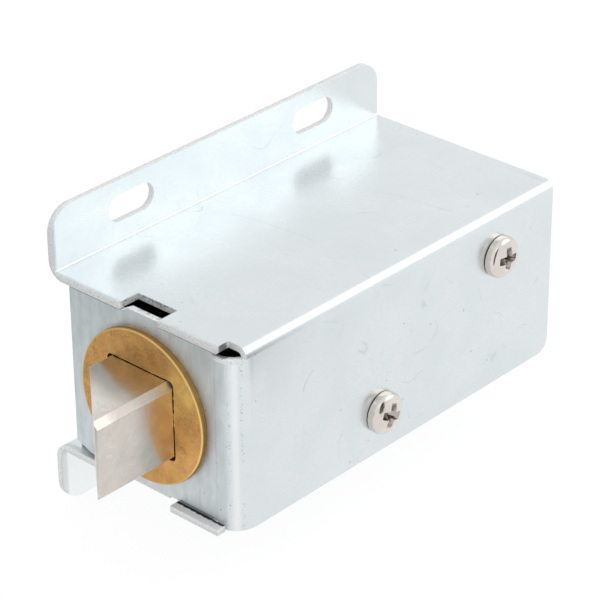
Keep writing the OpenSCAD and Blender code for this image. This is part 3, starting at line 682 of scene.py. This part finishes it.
def dressed(node, name, material, width, segments=2, sheet=False, before=None):
    """A finished copy of a CAD node that stands for it: joined corners, softened edges, marked walls."""
    source = frame["nodes"][node]
    mesh = bmesh.new()
    mesh.from_mesh(source.data)
    join_doubles(mesh)
    cut = mesh.faces.layers.float.new("cut")
    mesh.faces.layers.float.new("edge")
    across = mesh.loops.layers.float.new("across")
    if sheet:
        mark_sheared(mesh, cut, across)
    join_flat_faces(mesh)
    if before is not None:
        before(mesh)
    mesh.normal_update()
    sharp = [e for e in mesh.edges if len(e.link_faces) == 2 and e.calc_face_angle() > math.radians(33)]
    soften(mesh, sharp, width, segments)
    for face in mesh.faces:
        face.smooth = True
    made = bpy.data.meshes.new(name)
    mesh.to_mesh(made)
    mesh.free()
    piece = new_piece(name, made, material, source["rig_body"])
    shading = piece.modifiers.new("even shading", "WEIGHTED_NORMAL")
    shading.weight = 60
    shading.keep_sharp = True
    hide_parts(node)
    return piece


def round_about(place, middle):
    """Distance in millimetres and angle in degrees of a place round a middle, both as (first, second)."""
    first, second = place[0] / MM - middle[0], place[1] / MM - middle[1]
    return math.hypot(first, second), math.degrees(math.atan2(second, first))


def coarser_coin(mesh):
    """Leaves every fourth step of the flange's coined corner, so that no edge is too short to soften."""
    steps = {}
    for edge in mesh.edges:
        (away, turn), (far, far_turn) = (round_about((v.co.y, v.co.z), COIN_MIDDLE) for v in edge.verts)
        if max(abs(away - COIN_R), abs(far - COIN_R)) < NEAR and abs(turn - far_turn) < FLAT:
            steps.setdefault(round(turn), []).append(edge)
    spare = [edge for k, turn in enumerate(sorted(steps)[:-1]) if k % 4 for edge in steps[turn]]
    bmesh.ops.dissolve_edges(mesh, edges=spare, use_verts=True)


def level_slit(mesh):
    """Lifts the slit's floor to the top of the upright fold beside it, so that the rim is one line."""
    for corner in mesh.verts:
        x, y, z = (value / MM for value in corner.co)
        if x > FRONT - 1.0 and y > FOLD_START - 0.55 and SLIT_FLOOR - 0.02 < z < FOLD_TOP:
            corner.co.z = FOLD_TOP * MM
    join_doubles(mesh)
    join_flat_faces(mesh)


def rolled_end(mesh):
    """Readies the cover for softening, and rounds the outer edge of the upright fold's sheared top end."""
    coarser_coin(mesh)
    level_slit(mesh)
    middle = (FRONT - FOLD_R, FOLD_START)
    arcs = {FOLD_R: [], FOLD_R - SHEET: []}
    for corner in mesh.verts:
        away, turn = round_about(corner.co, middle)
        for radius, found in arcs.items():
            if abs(corner.co.z / MM - FOLD_TOP) < NEAR and abs(away - radius) < NEAR and -1 < turn < 68:
                found.append((turn, corner))
    outer, inner = ([corner for _, corner in sorted(arcs[r], key=lambda pair: pair[0])] for r in arcs)
    skin = {
        face for corner in outer for face in corner.link_faces
        if abs(face.normal.z) < 0.1
        and all(abs(round_about(v.co, middle)[0] - FOLD_R) < NEAR for v in face.verts)
    }
    # A second line of corners across the end, where the rounding starts
    ring = []
    for k, corner in enumerate(outer[1:], 1):
        made = bmesh.ops.connect_verts(mesh, verts=[corner, inner[min(k, len(inner) - 1)]])["edges"]
        ring.append(bmesh.utils.edge_split(made[0], corner, ROLL / SHEET)[1])
    for first, second in zip([outer[0], *ring], ring):
        bmesh.ops.connect_verts(mesh, verts=[first, second])
    # And one round the skin, where it ends
    edges = {edge for face in skin for edge in face.edges}
    corners = {corner for face in skin for corner in face.verts}
    bmesh.ops.bisect_plane(
        mesh, geom=[*skin, *edges, *corners], plane_co=at(0, 0, FOLD_TOP - ROLL), plane_no=(0, 0, 1)
    )
    drop = (1 - math.sqrt(0.5)) * ROLL
    for corner in outer[1:]:
        away = Vector((corner.co.x - middle[0] * MM, corner.co.y - middle[1] * MM, 0)).normalized()
        corner.co -= (away + Vector((0, 0, 1))) * drop * MM
        for face in corner.link_faces:
            face[mesh.faces.layers.float["cut"]] = 1.0
            for loop in face.loops:
                loop[mesh.loops.layers.float["across"]] = 0.0


def worked_disc(mesh):
    """Rounds the disc's front rim, and gives the edge of its square hole the small nicks of broaching."""
    fronts = [v for v in mesh.verts if abs(v.co.x / MM - RING_FRONT) < NEAR]
    away = {v: round_about((v.co.y, v.co.z), (AXIS_Y, AXIS_Z))[0] for v in fronts}
    outside = {v for v in fronts if away[v] > max(away.values()) - 2 * NEAR}
    soften(mesh, [e for e in mesh.edges if all(v in outside for v in e.verts)], 0.2, 3)
    reach = HOLE_HALF + NEAR
    rim = [
        edge for edge in mesh.edges
        if edge.calc_length() > 2 * MM and all(
            abs(v.co.x / MM - RING_FRONT) < NEAR
            and abs(v.co.y / MM - AXIS_Y) < reach
            and abs(v.co.z / MM - AXIS_Z) < reach
            for v in edge.verts
        )
    ]
    dice = random.Random(7)
    for item in bmesh.ops.subdivide_edges(mesh, edges=rim, cuts=34)["geom_inner"]:
        if not isinstance(item, bmesh.types.BMVert):
            continue
        outward = Vector((0, item.co.y - AXIS_Y * MM, item.co.z - AXIS_Z * MM))
        side = 1 if abs(outward.y) > abs(outward.z) else 2
        nick = 0.035 * dice.random() ** 2 + 0.012 * dice.random()
        item.co[side] += math.copysign(nick * MM, outward[side])


dressed("outer_cover", "cover_sheet", zinc, 0.09, sheet=True, before=rolled_end)
dressed("base_frame", "base_sheet", zinc, 0.09, sheet=True)
dressed("latch_bolt", "bolt_bar", bolt_metal, 0.06)
dressed("guide_ring", "guide_disc", brass, 0.09, before=worked_disc)
dressed("ring_washer", "guide_washer", brass, 0.07)
dressed("wire_grommet", "lead_grommet", rubber, 0.2, segments=3)

# Finishes of the nodes that are shown as they are
for node, material in {
    "back_plate": zinc,
    "solenoid_yoke": zinc,
    "coil_bobbin": nylon,
    "coil_tape": tape,
    "coil_terminals": tinned,
    "guide_tube": tube_brass,
    "fixed_core": steel,
    "core_lock_washer": spring_steel,
    "core_nut": steel,
    "core_cushion": rubber,
    "plunger": steel,
    "bolt_pin": spring_steel,
    "stop_washer": steel,
    "bumper_washer": rubber,
    "ring_clip": spring_steel,
}.items():
    shown = frame["nodes"][node].data
    shown.materials.clear()
    shown.materials.append(material)


def evaluated_mesh(thing, name):
    """The plain mesh that an object's modifiers give."""
    bpy.context.view_layer.update()
    graph = bpy.context.evaluated_depsgraph_get()
    made = bpy.data.meshes.new_from_object(thing.evaluated_get(graph), depsgraph=graph)
    made.name = name
    return made


def plain_object(mesh, name):
    """An object with the faces of a working mesh, all turned outwards."""
    bmesh.ops.recalc_face_normals(mesh, faces=mesh.faces)
    made = bpy.data.meshes.new(name)
    mesh.to_mesh(made)
    mesh.free()
    return new_object(name, made)


def lathe(profile, steps):
    """A closed turned shape about +Y from (radius, height) points in millimetres, from pole to pole."""
    mesh = bmesh.new()
    rings = []
    for radius, height in profile:
        # A pole is a single corner
        turns = [2 * math.pi * k / steps for k in range(steps if radius > 0 else 1)]
        ring = [at(radius * math.cos(turn), height, radius * math.sin(turn)) for turn in turns]
        rings.append([mesh.verts.new(place) for place in ring])
    for lower, upper in zip(rings, rings[1:]):
        for k in range(steps):
            after = (k + 1) % steps
            corners = [lower[k % len(lower)], lower[after % len(lower)],
                       upper[after % len(upper)], upper[k % len(upper)]]
            mesh.faces.new(dict.fromkeys(corners))
    return mesh


def arc(middle, radius, start, end, steps):
    """Points of an arc in the plane of a profile, angles in degrees."""
    turns = [math.radians(start + (end - start) * k / steps) for k in range(steps + 1)]
    return [(middle[0] + radius * math.cos(a), middle[1] + radius * math.sin(a)) for a in turns]


def recess_tool():
    """The tapered cross that a driver recess is cut with."""
    mesh = bmesh.new()
    depth, above, corner, bulge = 1.15, 0.35, 0.12, 0.02
    foot = (HEAD_HEIGHT - depth, 0.62, 0.25, 0.0)
    mouth = (HEAD_HEIGHT + above, 1.95, 0.575, 0.14)
    for quarter in range(2):
        rings = []
        for height, long, wide, taper in (foot, mouth):
            half = [(long, wide - taper), (long - corner, wide), (0.0, wide + bulge), (corner - long, wide),
                    (-long, wide - taper)]
            outline = half + [(a, -b) for a, b in reversed(half)]
            rings.append([
                mesh.verts.new(at(a, height, b) if quarter == 0 else at(-b, height, a)) for a, b in outline
            ])
        low, high = rings
        mesh.faces.new(low)
        mesh.faces.new(high[::-1])
        for k in range(len(low)):
            after = (k + 1) % len(low)
            mesh.faces.new((low[k], high[k], high[after], low[after]))
    return plain_object(mesh, "recess tool")


def screw_shape():
    """One pan-head screw with a tapered cross recess, standing on the origin along +Y."""
    corner_x = HEAD_R - SHOULDER_R + SHOULDER_R * math.cos(math.radians(SHOULDER_TURN))
    corner_y = SHOULDER_LEVEL + SHOULDER_R * math.sin(math.radians(SHOULDER_TURN))
    crown_turn = 2 * math.degrees(math.atan2(HEAD_HEIGHT - corner_y, corner_x))
    crown_r = corner_x / math.sin(math.radians(crown_turn))
    thread_r, root_r, pitch, thread_start = 1.5, 1.22, 0.5, -2.9
    # Shank's end and thread, then the underside, the shoulder and the crown of the head
    profile = [(0.0, -3.4), (1.1, -3.4), (1.4, -3.1)]
    for turn in range(4):
        low = thread_start + turn * pitch
        profile += [(thread_r, low), (root_r, low + 0.5 * pitch)]
    profile += [(thread_r, thread_start + 4 * pitch), (thread_r, 0.05)]
    profile += arc((HEAD_R - 0.12, 0.17), 0.12, -90, 0, 4)
    profile += arc((HEAD_R - SHOULDER_R, SHOULDER_LEVEL), SHOULDER_R, 0, SHOULDER_TURN, 12)
    profile += arc((0.0, HEAD_HEIGHT - crown_r), crown_r, 90 - crown_turn, 90, 10)[1:-1]
    profile.append((0.0, HEAD_HEIGHT))
    head = plain_object(lathe(profile, 96), "screw shape")
    tool = recess_tool()
    carve = head.modifiers.new("recess", "BOOLEAN")
    carve.object = tool
    carve.operation = "DIFFERENCE"
    carve.solver = "EXACT"
    carve.use_self = True
    round_off = head.modifiers.new("soft edges", "BEVEL")
    round_off.width = 0.045 * MM
    round_off.segments = 2
    round_off.limit_method = "ANGLE"
    round_off.angle_limit = math.radians(38)
    done = evaluated_mesh(head, "screw shape cut")
    for thing in (head, tool):
        bpy.data.objects.remove(thing)
    # Marks the recess for its painted shade, stronger with depth below the crown
    recess = done.attributes.new("recess", "FLOAT", "FACE")
    for face in done.polygons:
        face.use_smooth = True
        reach = math.hypot(face.center.x, face.center.z) / MM
        crown = HEAD_HEIGHT - crown_r + math.sqrt(crown_r ** 2 - min(reach, corner_x) ** 2)
        below = crown - face.center.y / MM
        if reach < corner_x and 0.03 < below < HEAD_HEIGHT:
            recess.data[face.index].value = min(1.0, 0.45 + below)
    return done


def grown(name, tree, values):
    """Runs a geometry tree with these named inputs and gives its result as a plain mesh."""
    seed = new_object(name + " seed", bpy.data.meshes.new(name + " seed"))
    modifier = seed.modifiers.new("grow", "NODES")
    modifier.node_group = tree
    sockets = {item.name: item.identifier for item in tree.interface.items_tree if item.in_out == "INPUT"}
    for label, value in values.items():
        modifier[sockets[label]] = value
    made = evaluated_mesh(seed, name)
    seed.modifiers.remove(modifier)
    bpy.data.objects.remove(seed)
    for face in made.polygons:
        face.use_smooth = True
    return made


def new_geometry(name, inputs):
    """An empty geometry tree with these named inputs and a Finish."""
    finish = ("Finish", "NodeSocketMaterial", None)
    return new_group(name, [*inputs, finish], [("Geometry", "NodeSocketGeometry", None)], "GeometryNodeTree")


def ended(net, given, out, geometry):
    """Ends a geometry tree with plain geometry in the given finish."""
    solid = net.fill(net.node("GeometryNodeRealizeInstances"), {"Geometry": geometry})
    painted = net.node("GeometryNodeSetMaterial")
    net.fill(painted, {"Geometry": solid.outputs[0], "Material": given["Finish"]})
    net.feed(out["Geometry"], painted.outputs[0])
    return net.tree


def pair_tree():
    """Two like fasteners at two places, each turned about its own axis."""
    net, given, out = new_geometry("fasteners at two places", [
        ("Fastener", "NodeSocketObject", None),
        ("First place", "NodeSocketVector", None),
        ("Second place", "NodeSocketVector", None),
        value_socket("First turn"),
        value_socket("Second turn"),
    ])
    row = net.node("GeometryNodeMeshLine", mode="END_POINTS")
    net.fill(row, {"Count": 2, "Start Location": given["First place"], "Offset": given["Second place"]})
    shape = net.fill(net.node("GeometryNodeObjectInfo"), {"Object": given["Fastener"]})
    index = net.node("GeometryNodeInputIndex").outputs[0]
    spin = net.node("ShaderNodeCombineXYZ")
    net.feed(spin.inputs["Y"], net.between(index, given["First turn"], given["Second turn"]))
    put = net.node("GeometryNodeInstanceOnPoints")
    net.fill(put, {
        "Points": row.outputs["Mesh"], "Instance": shape.outputs["Geometry"], "Rotation": spin.outputs[0],
    })
    return ended(net, given, out, put.outputs["Instances"])


def helix_tree():
    """Round wire wound about an axis along X, with its end turns laid closer."""
    net, given, out = new_geometry("wound wire", [
        value_socket("Start"),
        value_socket("End", 0.01),
        value_socket("Radius", 0.005),
        value_socket("Wire", 0.0005),
        value_socket("Turns", 5.0),
        value_socket("Closed ends"),
        ("Steps", "NodeSocketInt", 200),
        ("Sides", "NodeSocketInt", 12),
        ("Axis place", "NodeSocketVector", None),
    ])
    row = net.fill(net.node("GeometryNodeMeshLine", mode="OFFSET"), {"Count": given["Steps"]})
    line = net.fill(net.node("GeometryNodeMeshToCurve"), {"Mesh": row.outputs["Mesh"]})
    index = net.node("GeometryNodeInputIndex").outputs[0]
    share = net.math("DIVIDE", index, net.math("SUBTRACT", given["Steps"], 1))
    along = net.between(given["Closed ends"], share, net.ramp(share, 0.0, 1.0))
    angle = net.times(share, given["Turns"], 2 * math.pi)
    spot = net.node("ShaderNodeCombineXYZ")
    net.fill(spot, {
        "X": net.between(along, given["Start"], given["End"]),
        "Y": net.times(net.math("COSINE", angle), given["Radius"]),
        "Z": net.times(net.math("SINE", angle), given["Radius"]),
    })
    moved = net.node("GeometryNodeSetPosition")
    net.fill(moved, {
        "Geometry": line.outputs["Curve"],
        "Position": net.vector_math("ADD", spot.outputs[0], given["Axis place"]),
    })
    ring = net.node("GeometryNodeCurvePrimitiveCircle")
    net.fill(ring, {"Resolution": given["Sides"], "Radius": net.times(given["Wire"], 0.5)})
    tube = net.node("GeometryNodeCurveToMesh")
    net.fill(tube, {
        "Curve": moved.outputs["Geometry"], "Profile Curve": ring.outputs["Curve"], "Fill Caps": True,
    })
    return ended(net, given, out, tube.outputs["Mesh"])


# Screws
pattern = new_object("screw pattern", screw_shape())
screws_mesh = grown("side_screws", pair_tree(), {
    "Fastener": pattern,
    "First place": at(SCREW_PLACES[0][0], SIDE, SCREW_PLACES[0][1]),
    "Second place": at(SCREW_PLACES[1][0], SIDE, SCREW_PLACES[1][1]),
    "First turn": math.radians(SCREW_TURNS[0]),
    "Second turn": math.radians(SCREW_TURNS[1]),
    "Finish": nickel,
})
bpy.data.objects.remove(pattern)
side_screws = new_piece("side_screws", screws_mesh, nickel, "housing")
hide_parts("upper_screw", "lower_screw")

# Return spring and winding
wound = helix_tree()
axis_place = at(0, AXIS_Y, AXIS_Z)
seat_gap = 0.03
spring_mesh = grown("spring_coil", wound, {
    "Start": (SPRING_START + 0.5 * SPRING_WIRE + seat_gap) * MM,
    "End": (SPRING_END - 0.5 * SPRING_WIRE - seat_gap) * MM,
    "Radius": SPRING_R * MM,
    "Wire": SPRING_WIRE * MM,
    "Turns": 5.25,
    "Closed ends": 0.75,
    "Steps": 280,
    "Sides": 12,
    "Axis place": axis_place,
    "Finish": spring_steel,
})
spring_coil = new_piece("spring_coil", spring_mesh, spring_steel, "housing")
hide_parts("return_spring")
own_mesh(spring_coil)

winding_low, winding_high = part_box("coil_winding")
winding_mesh = grown("winding_turns", wound, {
    "Start": winding_low.x + 0.5 * TURN_WIRE * MM,
    "End": winding_high.x - 0.5 * TURN_WIRE * MM,
    "Radius": 0.5 * (winding_high.z - winding_low.z - TURN_WIRE * MM),
    "Wire": TURN_WIRE * MM,
    "Turns": float(WINDING_TURNS),
    "Closed ends": 0.0,
    "Steps": WINDING_TURNS * 40,
    "Sides": 8,
    "Axis place": axis_place,
    "Finish": copper,
})
winding_turns = new_piece("winding_turns", winding_mesh, copper, "housing")
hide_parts("coil_winding")


# Stage: pale floor, grey, dark and pale cards for the metal to mirror, and one soft lamp
def new_stage_piece(name, corners, material):
    mesh = bpy.data.meshes.new(name)
    mesh.from_pydata([at(*c) for c in corners], [], [tuple(range(len(corners)))])
    mesh.materials.append(material)
    made = new_object(name, mesh)
    return made


def bare_material(name):
    """A material without its usual shader, its network, and the socket that takes another shader."""
    made = bpy.data.materials.new(name)
    made.use_nodes = True
    made.node_tree.nodes.remove(made.node_tree.nodes["Principled BSDF"])
    return made, Network(made.node_tree), made.node_tree.nodes["Material Output"].inputs["Surface"]


def by_ray(net, surface, lighting, seen):
    """One shader for rays from the camera, or mirrored or bent on the way, and one for those that light."""
    path = net.node("ShaderNodeLightPath").outputs
    shows = net.math("ADD", path["Is Camera Ray"], path["Is Glossy Ray"])
    shows = net.math("ADD", shows, path["Is Transmission Ray"], clamp=True)
    choice = net.node("ShaderNodeMixShader")
    for socket, value in zip(choice.inputs, (shows, lighting, seen)):
        net.feed(socket, value)
    net.feed(surface, choice.outputs[0])


floor_paint, net, surface = bare_material("pale_floor")
plain = net.fill(net.node("ShaderNodeBsdfDiffuse"), {"Color": (0.80, 0.80, 0.80)})
shaded = net.fill(net.node("ShaderNodeBsdfDiffuse"), {"Color": (0.16, 0.16, 0.16)})
glow = net.fill(net.node("ShaderNodeEmission"), {"Color": (1.0, 1.0, 1.0), "Strength": 0.89})
bright = net.node("ShaderNodeAddShader")
net.feed(bright.inputs[0], shaded.outputs[0])
net.feed(bright.inputs[1], glow.outputs[0])
by_ray(net, surface, plain.outputs[0], bright.outputs[0])
far = 2500.0
new_stage_piece(
    "floor", [(-far, -far, FLOOR), (far, -far, FLOOR), (far, far, FLOOR), (-far, far, FLOOR)], floor_paint
)


def reflected_card(name, corners, levels):
    """A grey card that only mirrored rays see; levels are (height, grey) pairs, lowest first."""
    paint, net, surface = bare_material(name)
    height = net.axes(net.node("ShaderNodeTexCoord").outputs["Object"])[2]
    grey = levels[0][1]
    for (low, _), (high, value) in zip(levels, levels[1:]):
        grey = net.between(net.step(height, low, high), grey, value)
    tint = net.node("ShaderNodeCombineColor")
    for channel, share in (("Red", 0.97), ("Green", 1.0), ("Blue", 1.0)):
        net.feed(tint.inputs[channel], net.times(grey, share))
    glow = net.fill(net.node("ShaderNodeEmission"), {"Color": tint.outputs[0]})
    net.feed(surface, glow.outputs[0])
    card = new_stage_piece(name, corners, paint)
    card.visible_camera = False
    card.visible_diffuse = False
    card.visible_shadow = False
    card.visible_transmission = False


def upright(middle, along, half_width, low, high):
    """Corners of an upright card round a place, its width along a level direction."""
    ends = (middle - along * half_width, middle + along * half_width)
    return [(e.x, e.y, z) for e, z in ((ends[0], low), (ends[1], low), (ends[1], high), (ends[0], high))]


# Grey card beside the lock, on the left as the camera sees it, that the front plate mirrors
aside = Vector((0.736, -0.677, 0.0))
along = Vector((0.677, 0.736, 0.0))
reflected_card(
    "side_card", upright(aside * 41.0 + along * 17.5, along, 67.5, FLOOR, 70),
    [(-18.5, 0.95), (-3.0, 0.60), (6.0, 0.34), (18.0, 0.34), (28.0, 0.90)],
)
# Grey card behind the upper flange, that the top plate mirrors through the slots
reflected_card(
    "wall_card", upright(Vector((0.0, -7.0, 0.0)), Vector((1.0, 0.0, 0.0)), 34.0, 11.0, 23.0), [(11.0, 0.80)]
)
# Dark leaf, leaning back from the floor, that the screws' domes show
reflected_card(
    "dark_leaf",
    [(2, 58, -12.5), (7, 60, -9), (14, 66, 1.6), (30, 100, 52), (30, 130, 97), (0, 130, 97),
     (-8, 90, 37), (-7, 61, -6), (-2, 58.5, -11.5)],
    [(-18.0, 0.10)],
)
# Pale card high up on the camera's right, that the screws' domes and the rounded corners show
reflected_card(
    "dome_card", [(60, 250, 330), (230, 250, 330), (230, 330, 250), (60, 330, 250)], [(200.0, 1.5)]
)


def soft_lamp(name, direction, distance, size, radiance, colour):
    """A round lamp of this radiance, facing the lock; distance and size are in metres."""
    light = bpy.data.lights.new(name, "AREA")
    light.shape = "DISK"
    light.size = size
    light.energy = radiance * math.pi * math.pi * (size / 2) ** 2
    light.color = colour
    lamp = new_object(name, light)
    way = Vector(direction).normalized()
    lamp.location = at(2, 14, 0) + way * distance
    lamp.rotation_euler = way.to_track_quat("Z", "Y").to_euler()
    lamp.visible_camera = False


soft_lamp(
    "key_lamp", direction=(-0.64, 0.54, 0.54), distance=0.55, size=0.474, radiance=0.85,
    colour=(1.0, 0.965, 0.945),
)

world = bpy.data.worlds.new("studio")
bpy.context.scene.world = world
world.use_nodes = True
net = Network(world.node_tree)
backdrop = net.fill(world.node_tree.nodes["Background"], {"Color": (1.0, 1.0, 1.0), "Strength": 1.0})
room = net.fill(net.node("ShaderNodeBackground"), {"Color": (0.97, 0.99, 1.0), "Strength": 0.85})
surface = world.node_tree.nodes["World Output"].inputs["Surface"]
by_ray(net, surface, room.outputs[0], backdrop.outputs[0])
